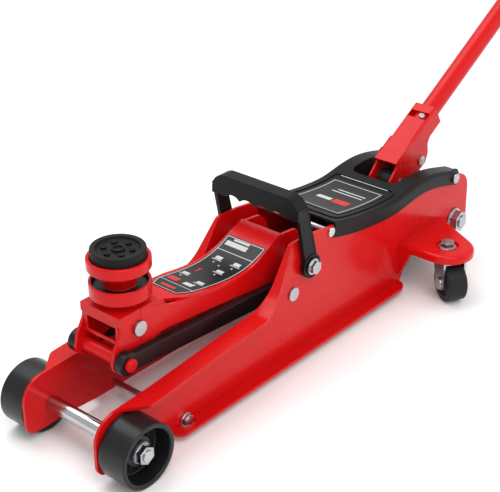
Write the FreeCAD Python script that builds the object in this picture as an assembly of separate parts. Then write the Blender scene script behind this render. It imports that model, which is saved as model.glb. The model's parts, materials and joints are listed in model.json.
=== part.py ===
"""Hydraulic trolley jack, 2.5 tonne low-profile class. Millimetres, +X to the handle, +Z up.

The working frame has the front axle at x = 0 and the floor at z = 0; at the end every node is moved
along X so that the middle of the whole jack stands over the origin.
"""
import FreeCAD, Part
import math
import os

V = FreeCAD.Vector

# --- fits -----------------------------------------------------------------------------------------
running = 0.05            # radial clearance of a pin in a bore that turns on it
skin = 0.3                # gap between neighbouring pieces that do not turn

# --- chassis --------------------------------------------------------------------------------------
sheet = 3.4               # side plate thickness
web_in = 50.3             # inner face of a side plate, from the middle plane
web_out = web_in + sheet
nose_x = -35.0            # front edge of the side plates
plate_bottom = 8.6
top_flange_reach = 73.0   # outer edge of the top flange, from the middle plane
bottom_flange_reach = 70.0
arm_x, arm_z = 288.0, 112.0      # lift arm pivot
tip_x, tip_z = 261.0, 147.7      # where the swept top edge ends, just ahead of the arm pivot
tie_x, tie_z, tie_r = 88.0, 14.5, 4.0
cross_x, cross_z, cross_r = 331.0, 134.7, 4.0
rear_screw_x, rear_screw_z, rear_screw_r = 586.0, 110.0, 4.0
through_x, through_z, through_r = 592.5, 49.5, 8.0

# --- front wheels ---------------------------------------------------------------------------------
wheel_r = 35.0
wheel_width = 35.0
wheel_in = web_out + 1.6  # inner side face of a wheel
axle_r = 6.0
dish_depth = 17.0
dish_r = 27.5

# --- casters --------------------------------------------------------------------------------------
swivel_x, swivel_y = 501.0, 103.0
horn_r = 32.5
horn_top, horn_bottom = 65.0, 55.0
caster_r, caster_width = 23.5, 23.0
caster_trail = 16.0
caster_turn = 58.0        # degrees the rest trail is turned outward from straight ahead
kingpin_r = 5.0
caster_axle_r = 4.0

# --- lifting gear ---------------------------------------------------------------------------------
upper_x, upper_z = 54.0, 131.0   # saddle bracket pivot on the lift arm
lower_dx, lower_dz = -24.0, -27.5          # from each arm pivot to the matching link pivot
lower_x, lower_z = upper_x + lower_dx, upper_z + lower_dz
link_x, link_z = arm_x + lower_dx, arm_z + lower_dz
side_in, side_out = 24.5, 28.0   # lift arm and bracket side plates
tongue_in, tongue_out = 20.5, 24.0
swing_r = 43.0            # the arm keeps this far from the upper pin outside its tongues
upper_pin_r, lower_pin_r, link_pin_r = 6.0, 5.0, 7.0
link_in, link_out, link_half = 28.5, 38.0, 9.5
arm_tube_r, arm_shaft_r = 16.0, 10.0
shaft_screw_r, shaft_screw_depth = 5.0, 14.0     # screws in the ends of the arm shaft, for the carry handle
saddle_x = upper_x + 5.0
bracket_top = 151.0
crank_x, crank_z = 300.6, 68.8   # pin between the crank plates that meets the ram
crank_pin_r, crank_roller_r = 6.0, 10.0
ram_z, ram_r = 72.0, 10.0

# --- hydraulics -----------------------------------------------------------------------------------
block_front, block_rear = 455.0, 612.0
block_half, block_bottom, block_top = 38.0, 30.0, 92.0
reservoir_r, cylinder_r, piston_r = 31.0, 20.0, 16.0
gland_x = 345.0

# --- pump and handle ------------------------------------------------------------------------------
pump_x, pump_z, pump_pin_r = 524.4, 114.6, 4.0
roller_x, roller_z, roller_r, roller_pin_r = 567.4, 129.7, 8.0, 3.5
plunger_r, spring_seat = 7.0, 78.0
plunger_foot, plunger_stroke = 62.0, 23.52
handle_x, handle_z = 602.7, 179.3          # mouth of the handle socket, on the pole axis
handle_rise = 29.75       # degrees above level
pole_r, pole_wall = 12.25, 2.25
pole_start, pole_split, pole_end = -60.0, 400.0, 740.0
socket_half, socket_wall, socket_face = 16.0, 2.5, 14.5
button_at, button_r, button_angle = -17.0, 4.0, 20.0

# --- carry handle ---------------------------------------------------------------------------------
bail_in = web_out + 3.1
bail_out = bail_in + 5.0
bail_top = 200.0


def box(x0, x1, y0, y1, z0, z1):
    return Part.makeBox(x1 - x0, y1 - y0, z1 - z0, V(x0, y0, z0))


def rodY(x, z, r, y0, y1):
    return Part.makeCylinder(r, y1 - y0, V(x, y0, z), V(0, 1, 0))


def rodZ(x, y, r, z0, z1):
    return Part.makeCylinder(r, z1 - z0, V(x, y, z0))


def rodX(y, z, r, x0, x1):
    return Part.makeCylinder(r, x1 - x0, V(x0, y, z), V(1, 0, 0))


def hexFace(centre, flats, normal):
    corners = []
    for i in range(7):
        a = math.radians(60 * i + 30)
        u, w = flats / math.sqrt(3) * math.cos(a), flats / math.sqrt(3) * math.sin(a)
        corners.append(centre + (V(u, 0, w) if normal == "y" else V(u, w, 0)))
    return Part.Face(Part.makePolygon(corners))


def hexY(x, z, flats, y0, y1):
    return hexFace(V(x, y0, z), flats, "y").extrude(V(0, y1 - y0, 0))


def hexZ(x, y, flats, z0, z1):
    return hexFace(V(x, y, z0), flats, "z").extrude(V(0, 0, z1 - z0))


def roundedWire(points, place):
    """Closed outline through (u, w, corner radius) points; place(u, w) gives the 3-D point."""
    n = len(points)
    cuts = []
    for i in range(n):
        u, w, r = points[i]
        pu, pw = points[i - 1][0], points[i - 1][1]
        nu, nw = points[(i + 1) % n][0], points[(i + 1) % n][1]
        a, b = math.atan2(pw - w, pu - u), math.atan2(nw - w, nu - u)
        half = abs((b - a + math.pi) % (2 * math.pi) - math.pi) / 2
        if r <= 0 or half > math.pi / 2 - 0.001:
            cuts.append((place(u, w), None, place(u, w)))
            continue
        back = r / math.tan(half)
        mid = math.atan2(math.sin(a) + math.sin(b), math.cos(a) + math.cos(b))
        deep = r / math.sin(half) - r
        cuts.append((place(u + back * math.cos(a), w + back * math.sin(a)),
                     place(u + deep * math.cos(mid), w + deep * math.sin(mid)),
                     place(u + back * math.cos(b), w + back * math.sin(b))))
    edges = []
    for i in range(n):
        start, middle, end = cuts[i]
        if middle is not None:
            edges.append(Part.Arc(start, middle, end).toShape())
        following = cuts[(i + 1) % n][0]
        if end.distanceToPoint(following) > 1e-4:
            edges.append(Part.makeLine(end, following))
    return Part.Wire(edges)


def plateY(points, y0, y1):
    face = Part.Face(roundedWire(points, lambda u, w: V(u, y0, w)))
    return face.extrude(V(0, y1 - y0, 0))


def plateX(points, x0, x1):
    face = Part.Face(roundedWire(points, lambda u, w: V(x0, u, w)))
    return face.extrude(V(x1 - x0, 0, 0))


def plateZ(points, z0, z1):
    face = Part.Face(roundedWire(points, lambda u, w: V(u, w, z0)))
    return face.extrude(V(0, 0, z1 - z0))


def ribbonY(points, thickness, y0, y1):
    """A strip whose top follows a smooth curve through (x, z) points."""
    curve = Part.BSplineCurve()
    curve.interpolate([V(x, y0, z) for x, z in points])
    steps = 4 * len(points)
    first, last = curve.FirstParameter, curve.LastParameter
    below = []
    for i in range(steps + 1):
        t = first + (last - first) * i / steps
        slope = curve.tangent(t)[0]
        below.append(curve.value(t) + V(slope.z, 0, -slope.x) * thickness)
    under = Part.BSplineCurve()
    under.interpolate(below)
    ends = [Part.makeLine(curve.value(last), below[-1]), Part.makeLine(below[0], curve.value(first))]
    wire = Part.Wire([curve.toShape(), ends[0], under.toShape().reversed(), ends[1]])
    return Part.Face(wire).extrude(V(0, y1 - y0, 0))


def mirrored(shape):
    return shape.mirror(V(0, 0, 0), V(0, 1, 0))


def bothSides(shape):
    return Part.makeCompound([shape, mirrored(shape)])


def fused(first, *others):
    return first.fuse(list(others)).removeSplitter()


def turned(shape, x, z, degrees):
    """Turned about a cross axis through (x, z); positive lifts what lies ahead of it."""
    copy = shape.copy()
    copy.rotate(V(x, 0, z), V(0, 1, 0), degrees)
    return copy


def soften(shape, size, pick):
    edges = [e for e in shape.Edges if pick(e)]
    return shape.makeFillet(size, edges) if edges else shape


def alongPole(shape):
    """Takes a shape built on the X axis, with the socket mouth at x = 0, to the handle."""
    copy = shape.copy()
    copy.rotate(V(0, 0, 0), V(0, 1, 0), -handle_rise)
    copy.translate(V(handle_x, 0, handle_z))
    return copy


nodes = {}


# --- side plates ----------------------------------------------------------------------------------
web_outline = [(nose_x, 11, 12), (nose_x, 73.6, 28), (36, 76.5, 150), (131, 84, 300), (221, 90, 55),
               (tip_x - 1, tip_z, 6), (293, 146.7, 60), (336, 140.5, 60), (397, 127.5, 80), (455, 122.6, 80),
               (517, 128.6, 60), (560, 121.5, 60), (622, 104, 25), (624, 34, 15), (500, 34, 8),
               (482, 20, 4), (474, plate_bottom, 0), (60, plate_bottom, 10), (30, 11, 0)]
web = plateY(web_outline, -web_out, -web_in)
outline_face = Part.Face(roundedWire(web_outline, lambda u, w: V(u, -top_flange_reach, w)))
turned_edge = outline_face.cut(outline_face.makeOffset2D(-sheet)).extrude(V(0, top_flange_reach - web_in, 0))
top_flange_plan = [(-6, -web_in, 0), (22, -top_flange_reach, 12), (196, -top_flange_reach, 40),
                   (262, -web_out, 0), (262, -web_in, 0)]
top_flange = turned_edge.common(plateZ(top_flange_plan, 60, 160))
bottom_flange = turned_edge.common(plateZ([(62, -web_in, 0), (68, -bottom_flange_reach, 10),
                                           (472, -bottom_flange_reach, 18), (472, -web_in, 0)], 0, 30))

# The caster horn is pressed out of the same sheet: a hood with a recessed seat for the kingpin nut
horn_left, horn_right = swivel_x - horn_r, 565.0
horn_turn = math.radians(27.3)     # where the round end meets the slanted rear edge
horn_tangent = [(horn_left, -web_in - 0.6), (horn_left, -swivel_y), (swivel_x, -swivel_y),
                (swivel_x + horn_r * math.cos(horn_turn), -swivel_y - horn_r * math.sin(horn_turn)),
                (horn_right, -web_in - 0.6)]


def horn(inset, z0, z1):
    corner = []
    for u, w in horn_tangent:
        moved = inset if u < swivel_x - 20 else -inset if u > swivel_x + 20 else 0
        corner.append((u + moved, w, 0))
    return plateZ(corner, z0, z1).fuse(rodZ(swivel_x, -swivel_y, horn_r - inset, z0, z1)).removeSplitter()


hood = horn(0, horn_bottom, horn_top)
hood = soften(hood, 5.0, lambda e: e.BoundBox.ZMin > horn_top - 0.01 and e.BoundBox.YMax < -web_out + 3.5)
hood = hood.cut(horn(sheet, horn_bottom - 1, horn_top - sheet))
seat = rodZ(swivel_x, -swivel_y, 17.5, horn_top - 3 - sheet, horn_top - 1)
hood = hood.fuse(seat).cut(rodZ(swivel_x, -swivel_y, 14, horn_top - 3, horn_top + 1))
gusset = plateX([(-web_in - 0.6, 22, 0), (-57, 22, 0), (-70, 50, 12), (-72, horn_bottom + 2, 0),
                 (-web_in - 0.6, horn_bottom + 2, 0)], horn_left, horn_left + sheet)
plate = fused(web, top_flange, bottom_flange, hood, gusset)
through_holes = [(0, wheel_r, axle_r), (tie_x, tie_z, tie_r), (link_x, link_z, link_pin_r),
                 (arm_x, arm_z, arm_shaft_r), (cross_x, cross_z, cross_r),
                 (rear_screw_x, rear_screw_z, rear_screw_r), (through_x, through_z, through_r)]
for hole_x, hole_z, hole_r in through_holes:
    plate = plate.cut(rodY(hole_x, hole_z, hole_r + running, -web_out - 1, -web_in + 1))
plate = plate.cut(rodZ(swivel_x, -swivel_y, kingpin_r + running, horn_bottom, horn_top))
plate = plate.cut(rodY(tie_x, tie_z, 9, -web_out - 8, -web_out))
nodes["side_plate_left"] = plate
nodes["side_plate_right"] = mirrored(plate)

# --- front axle, wheels and their fastenings ------------------------------------------------------
wheel_out = wheel_in + wheel_width
hub_out = wheel_out - dish_depth
washer = 2.0
nodes["front_axle"] = rodY(0, wheel_r, axle_r, -wheel_out + 1, wheel_out - 1)
spacer = rodY(0, wheel_r, 11, -wheel_in + skin, -web_out - 0.1)
nodes["front_axle_spacers"] = bothSides(spacer.cut(rodY(0, wheel_r, axle_r + running, -wheel_in - 1, -web_in)))

wheel = rodY(0, wheel_r, wheel_r, -wheel_out, -wheel_in)
wheel = soften(wheel, 2.5, lambda e: e.Curve.TypeId == "Part::GeomCircle")
wheel = wheel.cut(Part.makeCone(dish_r, dish_r - 5, dish_depth, V(0, -wheel_out, wheel_r), V(0, 1, 0)))
wheel = wheel.cut(rodY(0, wheel_r, dish_r, -wheel_in - 6, -wheel_in))
wheel = wheel.fuse([rodY(0, wheel_r, 12.5, -hub_out - 3, -wheel_in)])
wheel = wheel.cut(rodY(0, wheel_r, axle_r + running, -wheel_out, -wheel_in))
nodes["front_wheel_left"] = wheel
nodes["front_wheel_right"] = mirrored(wheel)
washer_out = hub_out + 3 + skin + washer
hub_washer = rodY(0, wheel_r, 11.5, -washer_out, -washer_out + washer)
hub_washer = hub_washer.cut(rodY(0, wheel_r, axle_r + running, -wheel_out, -wheel_in))
nodes["front_axle_washers"] = bothSides(hub_washer)
nut = fused(rodY(0, wheel_r, 11, -washer_out - 2.1, -washer_out - 0.1),
            hexY(0, wheel_r, 18, -washer_out - 9, -washer_out - 2))
nodes["front_axle_nuts"] = bothSides(nut.cut(rodY(0, wheel_r, axle_r, -wheel_out - 5, -wheel_in)))

# --- cross members --------------------------------------------------------------------------------
tie = rodY(tie_x, tie_z, tie_r, -web_out - 7, web_out + 7)
nodes["front_tie_rod"] = tie
tie_nut = fused(rodY(tie_x, tie_z, 7.5, -web_out - 1.6, -web_out - 0.1),
                hexY(tie_x, tie_z, 12, -web_out - 6, -web_out - 1.5))
nodes["front_tie_rod_nuts"] = bothSides(tie_nut.cut(rodY(tie_x, tie_z, tie_r + running, -web_out - 8, -web_in)))
cross = fused(rodY(cross_x, cross_z, cross_r, -web_out - 1, web_out + 1),
              rodY(cross_x, cross_z, cross_r + 1.5, web_out + 0.1, web_out + 1.8),
              rodY(cross_x, cross_z, cross_r + 1.5, -web_out - 1.8, -web_out - 0.1))
nodes["cover_cross_rod"] = cross

# --- cover ----------------------------------------------------------------------------------------
cover_half, cover_wall, cover_skirt = web_out + 2.3, 2.0, 18.0
cover_curve = [(338, 144.6), (370, 136.6), (397, 131.8), (425, 128.6), (455, 127.4), (487, 131.0),
               (517, 132.9), (545, 129.8), (572, 123.4), (597, 116.4)]
cover = ribbonY(cover_curve, cover_skirt, -cover_half, cover_half)
cover = soften(cover, 5.0, lambda e: e.BoundBox.XLength > 200 and e.BoundBox.ZMax > 140)
inside_half = cover_half - cover_wall
inner_curve = [(x - (2 if x < 340 else 0) + (4 if x > 590 else 0), z - cover_wall) for x, z in cover_curve]
hollow = ribbonY(inner_curve, cover_skirt + 6, -inside_half, inside_half)
cover = cover.cut(hollow)
mouth = plateZ([(484, -34, 12), (484, 34, 12), (640, 34, 0), (640, -34, 0)], 90, 160)
cover = cover.cut(mouth)
cover_tab = plateY([(575, 126, 0), (592, 121, 5), (596, 104, 8), (574, 102, 8)], -cover_half, -inside_half)
cover_tab = cover_tab.common(rodY(rear_screw_x, rear_screw_z, 12.5, -cover_half, -inside_half))
cover = fused(cover, cover_tab, mirrored(cover_tab))
for side in (-1, 1):
    y0, y1 = sorted((side * (inside_half - 2), side * (cover_half + 1)))
    cover = cover.cut(rodY(rear_screw_x, rear_screw_z, rear_screw_r + running, y0, y1))
nodes["cover"] = cover.cut(rodY(cross_x, cross_z, cross_r + 2, -cover_half - 1, cover_half + 1))
decal = ribbonY(cover_curve, 0.4, -36, 36).common(box(367, 455, -36, 36, 110, 160))
decal.translate(V(0, 0, 0.5))
nodes["cover_decal"] = decal

screw = fused(rodY(rear_screw_x, rear_screw_z, rear_screw_r, -cover_half - 1, -web_in + 8),
              rodY(rear_screw_x, rear_screw_z, 6.5, -cover_half - 3, -cover_half - 0.1))
nodes["cover_rear_screws"] = bothSides(screw)
screw_nut = hexY(rear_screw_x, rear_screw_z, 13, -web_in + 0.1, -web_in + 6)
screw_nut = screw_nut.cut(rodY(rear_screw_x, rear_screw_z, rear_screw_r, -web_in - 1, -web_in + 8))
nodes["cover_rear_nuts"] = bothSides(screw_nut)

# --- casters --------------------------------------------------------------------------------------
crown_top = horn_top - 3 - sheet - skin
caster_x = swivel_x - caster_trail
leg_in = caster_width / 2 + 0.8
leg_out = leg_in + 2.5
crown_bottom = crown_top - 8
race = rodZ(swivel_x, 0, 15, crown_top - 4.2, crown_top)
crown = plateZ([(swivel_x - 24, -leg_out, 6), (swivel_x - 24, leg_out, 6), (swivel_x + 17, leg_out, 14),
                (swivel_x + 17, -leg_out, 14)], crown_bottom, crown_bottom + 4)
leg = plateY([(swivel_x - 24, crown_bottom + 3, 0), (swivel_x + 8, crown_bottom + 3, 0),
              (caster_x + 8.5, caster_r - 8.5, 8), (caster_x - 8.5, caster_r - 8.5, 8)], leg_in, leg_out)
fork = fused(crown, race, leg, mirrored(leg))
fork = fork.cut(rodZ(swivel_x, 0, kingpin_r + running, 30, 80))
fork = fork.cut(rodY(caster_x, caster_r, caster_axle_r + running, -20, 20))
tread = rodY(caster_x, caster_r, caster_r, -caster_width / 2, caster_width / 2)
tread = soften(tread, 3.5, lambda e: e.Curve.TypeId == "Part::GeomCircle")
tread = tread.cut(rodY(caster_x, caster_r, caster_axle_r + running, -20, 20))
caster_rod = fused(rodY(caster_x, caster_r, caster_axle_r, -leg_out - 1, leg_out + 1),
                   rodY(caster_x, caster_r, 7.5, leg_out + 0.1, leg_out + 2.6),
                   rodY(caster_x, caster_r, 7.5, -leg_out - 2.6, -leg_out - 0.1))
kingpin = fused(rodZ(swivel_x, 0, kingpin_r, crown_bottom - 1, horn_top + 6),
                rodZ(swivel_x, 0, 8.5, crown_bottom - 3.4, crown_bottom - 0.1))
caster_nut = fused(rodZ(swivel_x, 0, 10.5, horn_top - 2.9, horn_top - 1.1),
                   hexZ(swivel_x, 0, 15, horn_top - 1.1, horn_top + 4.9))
caster_nut = caster_nut.cut(rodZ(swivel_x, 0, kingpin_r, 50, 80))
for name, shape in [("caster_fork", fork), ("caster_wheel", tread), ("caster_axle", caster_rod)]:
    placed = shape.copy()
    placed.rotate(V(swivel_x, 0, 0), V(0, 0, 1), caster_turn)
    placed.translate(V(0, -swivel_y, 0))
    nodes[name + "_left"] = placed
    nodes[name + "_right"] = mirrored(placed)
kingpin.translate(V(0, -swivel_y, 0))
caster_nut.translate(V(0, -swivel_y, 0))
nodes["caster_kingpins"] = bothSides(kingpin)
nodes["caster_nuts"] = bothSides(caster_nut)

# --- lift arm -------------------------------------------------------------------------------------
arm_side = plateY([(92, 137.5, 4), (118, 133.5, 30), (150, 127, 60), (200, 122, 60), (228, 125.6, 60),
                   (252, 135.4, 40), (276, 145, 4),
                   (306, 142, 20), (320, 112, 20), (306, 92, 14), (288, 84, 14), (224, 97, 60), (88, 112.4, 8)],
                  side_in, side_out)
joggle = plateY([(86, 137, 4), (112, 132, 4), (112, 112, 4), (82, 112.6, 4)], tongue_in, side_out)
arm_side = arm_side.fuse(joggle)
arm_side = arm_side.cut(rodY(upper_x, upper_z, swing_r, tongue_in - 1, side_out + 1))
tongue = plateY([(upper_x - 15.5, 145.5, 14), (upper_x + 3, 145.5, 10), (88, 131.2, 4), (112, 131.2, 2),
                 (112, 113, 2), (upper_x - 14.5, 117, 2.5)], tongue_in, tongue_out)
arm_side = arm_side.fuse(tongue)
top_curve = [(98, 138.2), (118.6, 136.0), (135, 133.0), (165, 127.7), (200, 124.7), (230, 129.0), (250, 137.1),
             (274, 147.0)]
top_plate = ribbonY(top_curve, 3.5, -31, 31)
top_plan = plateZ([(90, -15, 0), (97, -15, 3), (118.6, -26, 6), (150, -30.5, 20), (220, -30.5, 20),
                   (276, -28, 3), (276, 28, 3), (220, 30.5, 20), (150, 30.5, 20), (118.6, 26, 6),
                   (97, 15, 3), (90, 15, 0)], 90, 170)
top_plate = top_plate.common(top_plan)
tongue_floor = plateY([(upper_x - 14.5, 117, 2), (116, 113, 0), (116, 116.5, 0), (upper_x - 14.5, 120.5, 2)],
                      -tongue_in - 1, tongue_in + 1)
mid_floor = plateY([(130, 107.6, 0), (215, 98.2, 0), (215, 101.7, 0), (130, 111.1, 0)],
                   -side_in - 1, side_in + 1)
arm_tube = rodY(arm_x, arm_z, arm_tube_r, -side_in - 1, side_in + 1)
crank_plate = plateY([(288, 126, 13), (303, 118, 12), (crank_x + 13, crank_z - 11, 12.5),
                      (crank_x - 13, crank_z - 15, 12.5), (273, 108, 12)], 11, 16)
arm = fused(arm_side, mirrored(arm_side), top_plate, tongue_floor, mid_floor, arm_tube, crank_plate,
            mirrored(crank_plate))
arm_holes = [(upper_x, upper_z, upper_pin_r), (arm_x, arm_z, arm_shaft_r), (crank_x, crank_z, crank_pin_r)]
for hole_x, hole_z, hole_r in arm_holes:
    arm = arm.cut(rodY(hole_x, hole_z, hole_r + running, -40, 40))
nodes["lift_arm"] = arm
arm_decal = ribbonY(top_curve, 0.3, -28, 28)
arm_decal_plan = [(118, -17.6, 1), (133, -24, 4), (230, -26, 4), (250, -27.5, 1),
                  (250, 27.5, 1), (230, 26, 4), (133, 24, 4), (118, 17.6, 1)]
arm_decal = arm_decal.common(plateZ(arm_decal_plan, 90, 170))
arm_decal.translate(V(0, 0, 0.4))
nodes["arm_decal"] = arm_decal
arm_shaft = rodY(arm_x, arm_z, arm_shaft_r, -web_out + 0.1, web_out - 0.1)
for side in (-1, 1):
    y0, y1 = sorted((side * (web_out - shaft_screw_depth), side * (web_out + 1)))
    arm_shaft = arm_shaft.cut(rodY(arm_x, arm_z, shaft_screw_r, y0, y1))
nodes["arm_pivot_shaft"] = arm_shaft
nodes["crank_pin"] = rodY(crank_x, crank_z, crank_pin_r, -17, 17)
crank_roller = rodY(crank_x, crank_z, crank_roller_r, -10.4, 10.4)
nodes["crank_roller"] = crank_roller.cut(rodY(crank_x, crank_z, crank_pin_r + running, -20, 20))

# --- links ----------------------------------------------------------------------------------------
link_length = math.hypot(link_x - lower_x, link_z - lower_z)
bar = box(0, link_length, -link_out, -link_in, -link_half, link_half)
bar = fused(bar, rodY(0, 0, 12.5, -link_out, -link_in), rodY(link_length, 0, 11, -link_out, -link_in))
bar = bar.cut(rodY(0, 0, lower_pin_r + 0.1, -50, 0)).cut(rodY(link_length, 0, link_pin_r + running, -50, 0))
link_fall = math.degrees(math.atan2(lower_z - link_z, link_x - lower_x))
bar.rotate(V(0, 0, 0), V(0, 1, 0), link_fall)
bar.translate(V(lower_x, 0, lower_z))
nodes["link_left"] = bar
nodes["link_right"] = mirrored(bar)
link_pin = fused(rodY(link_x, link_z, link_pin_r, -web_out - 1, -link_in),
                 rodY(link_x, link_z, link_pin_r + 1, -web_out - 2.2, -web_out - 0.1))
nodes["link_pivot_pins"] = bothSides(link_pin)

# --- saddle bracket -------------------------------------------------------------------------------
bracket_front = upper_x - 23
bracket_side = plateY([(bracket_front, bracket_top, 2), (upper_x + 34, bracket_top, 10),
                       (upper_x + 44, 128, 20), (upper_x + 30, 112, 14), (upper_x + 2, 103, 12),
                       (upper_x - 10, 97, 3),
                       (lower_x + 8, lower_z - 6, 0), (lower_x - 12, lower_z + 3, 0), (lower_x - 10, 117, 14),
                       (bracket_front, 135, 10)], side_in, side_out)
bracket_side = bracket_side.fuse(rodY(lower_x, lower_z, 13, side_in, side_out))
swing_room = fused(rodY(upper_x, upper_z, swing_r - 1, side_in - 1, side_out + 1),
                   box(lower_x - 20, lower_x + 30, side_in - 1, side_out + 1, 88, 125))
bracket_side = bracket_side.common(swing_room)
bracket_plate = box(bracket_front, upper_x + 30, -side_out, side_out, bracket_top - 4, bracket_top)
bracket_lip = box(bracket_front - 1.5, bracket_front + 2.5, -side_out, side_out, bracket_top - 10, bracket_top)
cross_tube = rodY(lower_x, lower_z, 7.5, -side_in - 0.5, side_in + 0.5)
pedestal = rodZ(saddle_x, 0, 21, bracket_top - 1, bracket_top + 7.5)
bracket = fused(bracket_side, mirrored(bracket_side), bracket_plate, bracket_lip, cross_tube, pedestal)
stud_r = 8.0
bracket = bracket.cut(rodZ(saddle_x, 0, stud_r + running, 140, 170))
bracket = bracket.cut(rodY(upper_x, upper_z, upper_pin_r + running, -40, 40))
bracket = bracket.cut(rodY(lower_x, lower_z, lower_pin_r + running, -40, 40))
nodes["saddle_bracket"] = bracket
upper_pin = fused(rodY(upper_x, upper_z, upper_pin_r, -side_out - 3, side_out + 3),
                  rodY(upper_x, upper_z, 8, -side_out - 3.6, -side_out - 0.1),
                  rodY(upper_x, upper_z, 8, side_out + 0.1, side_out + 3.6))
nodes["upper_pin"] = upper_pin
lower_pin = fused(rodY(lower_x, lower_z, lower_pin_r, -link_out - 2, link_out + 2),
                  rodY(lower_x, lower_z, 7, -link_out - 3.5, -link_out - 0.4),
                  rodY(lower_x, lower_z, 7, link_out + 0.4, link_out + 3.5))
nodes["lower_pin"] = lower_pin

# --- saddle ---------------------------------------------------------------------------------------
cup_r, cup_bottom, cup_floor, cup_top = 31.5, 158.8, 163.5, 174.0
cup = fused(rodZ(saddle_x, 0, cup_r, cup_bottom, cup_top), rodZ(saddle_x, 0, stud_r, 141, cup_bottom + 1),
            rodZ(saddle_x, 0, 11, 142.5, bracket_top - 4.3))
cup = soften(cup, 1.5, lambda e: e.Curve.TypeId == "Part::GeomCircle" and e.BoundBox.XLength > 60)
nodes["saddle_cup"] = cup.cut(rodZ(saddle_x, 0, cup_r - 3, cup_floor, cup_top + 1))
post_r, ring_r, pad_r, pad_top = 16.5, 32.5, 28.0, 209.6
extension = fused(rodZ(saddle_x, 0, cup_r - 3.6, cup_floor + 0.1, cup_floor + 5),
                  rodZ(saddle_x, 0, post_r, cup_floor + 4, 190), rodZ(saddle_x, 0, ring_r, 188, 200))
extension = soften(extension, 1.5, lambda e: e.Curve.TypeId == "Part::GeomCircle" and e.BoundBox.XLength > 60)
nodes["saddle_extension"] = extension.cut(rodZ(saddle_x, 0, pad_r + 0.1, 195, 201))
pad = rodZ(saddle_x, 0, pad_r, 195.1, pad_top)
pad = soften(pad, 2.0, lambda e: e.BoundBox.ZMin > pad_top - 0.1)
pad = pad.cut(rodZ(saddle_x, 0, 22, pad_top - 4, pad_top + 1))
for i in range(6):
    a = math.radians(60 * i)
    pad = pad.fuse(rodZ(saddle_x + 15 * math.cos(a), 15 * math.sin(a), 3, pad_top - 5, pad_top - 1))
pad = pad.fuse(rodZ(saddle_x, 0, 7, pad_top - 5, pad_top - 2)).cut(rodZ(saddle_x, 0, 4, pad_top - 11.6, pad_top))
nodes["saddle_pad"] = pad.removeSplitter()

# --- hydraulics -----------------------------------------------------------------------------------
block = box(block_front, block_rear, -block_half, block_half, block_bottom, block_top)
block = soften(block, 5.0, lambda e: e.BoundBox.XLength > 100 or e.BoundBox.ZLength > 50)
lug = plateY([(pump_x - 16, block_top - 3, 0), (pump_x - 11, pump_z + 11, 11), (pump_x + 11, pump_z + 11, 11),
              (pump_x + 16, block_top - 3, 0)], -12, 12)
boss = rodZ(roller_x + 0.6, 0, 16, block_top - 2, block_top + 1.5)
trunnion = rodY(through_x, through_z, 16, -web_in + 0.05, web_in - 0.05)
front_trunnion = rodY(480, 70, 12, -web_in + 0.05, web_in - 0.05)
block = fused(block, lug, boss, trunnion, front_trunnion)
block = block.cut(rodY(pump_x, pump_z, pump_pin_r + running, -50, 50))
block = block.cut(rodY(through_x, through_z, through_r + running, -60, 60))
plunger_x = roller_x + 0.6
block = block.cut(rodZ(plunger_x, 0, 13.5, spring_seat, 120))
block = block.cut(rodZ(plunger_x, 0, plunger_r + running, plunger_foot - plunger_stroke - 2, 90))
valve_x = 492.0
nodes["power_unit_block"] = block.cut(rodZ(valve_x, 0, 5 + running, 75, 100))

through_bolt = rodY(through_x, through_z, through_r, -web_out - 15, web_out + 15)
nodes["through_bolt"] = through_bolt
through_nut = fused(rodY(through_x, through_z, 15, -web_out - 2.6, -web_out - 0.1),
                    hexY(through_x, through_z, 24, -web_out - 13, -web_out - 2.5))
through_nut = through_nut.cut(rodY(through_x, through_z, through_r, -web_out - 14, -web_in))
nodes["through_bolt_nuts"] = bothSides(through_nut)

reservoir = rodX(0, ram_z, reservoir_r, gland_x + 6, block_front - 0.1)
reservoir = reservoir.cut(rodX(0, ram_z, reservoir_r - 3, gland_x + 3, block_front))
nodes["reservoir"] = reservoir.cut(rodZ(400, 0, 4, ram_z + 20, ram_z + 40))
cylinder = rodX(0, ram_z, cylinder_r, gland_x + 12.2, block_front - 0.1)
nodes["ram_cylinder"] = cylinder.cut(rodX(0, ram_z, piston_r, gland_x + 10, block_front))
gland = fused(rodX(0, ram_z, reservoir_r, gland_x, gland_x + 5.9),
              rodX(0, ram_z, reservoir_r - 3.1, gland_x + 5, gland_x + 12))
nodes["ram_gland"] = gland.cut(rodX(0, ram_z, ram_r + running, gland_x - 1, gland_x + 20))
slot_x, slot_half = 299.9, 11.1
head_front, head_back = slot_x - slot_half - 6, slot_x + slot_half + 6
head = plateY([(head_front, 56, 2), (head_front, 94, 4), (head_back, 94, 4), (head_back, 56, 2)], -10.2, 10.2)
ram = fused(head, rodX(0, ram_z, ram_r, slot_x + slot_half + 1, 425),
            rodX(0, ram_z, piston_r - running, 420, 436))
nodes["ram"] = ram.cut(box(slot_x - slot_half, slot_x + slot_half, -20, 20, 50, 88))
reservoir_top = ram_z + reservoir_r
plug = fused(hexZ(400, 0, 12, reservoir_top + 0.2, reservoir_top + 5),
             rodZ(400, 0, 3.9, reservoir_top - 4, reservoir_top + 1))
nodes["filler_plug"] = plug

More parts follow.
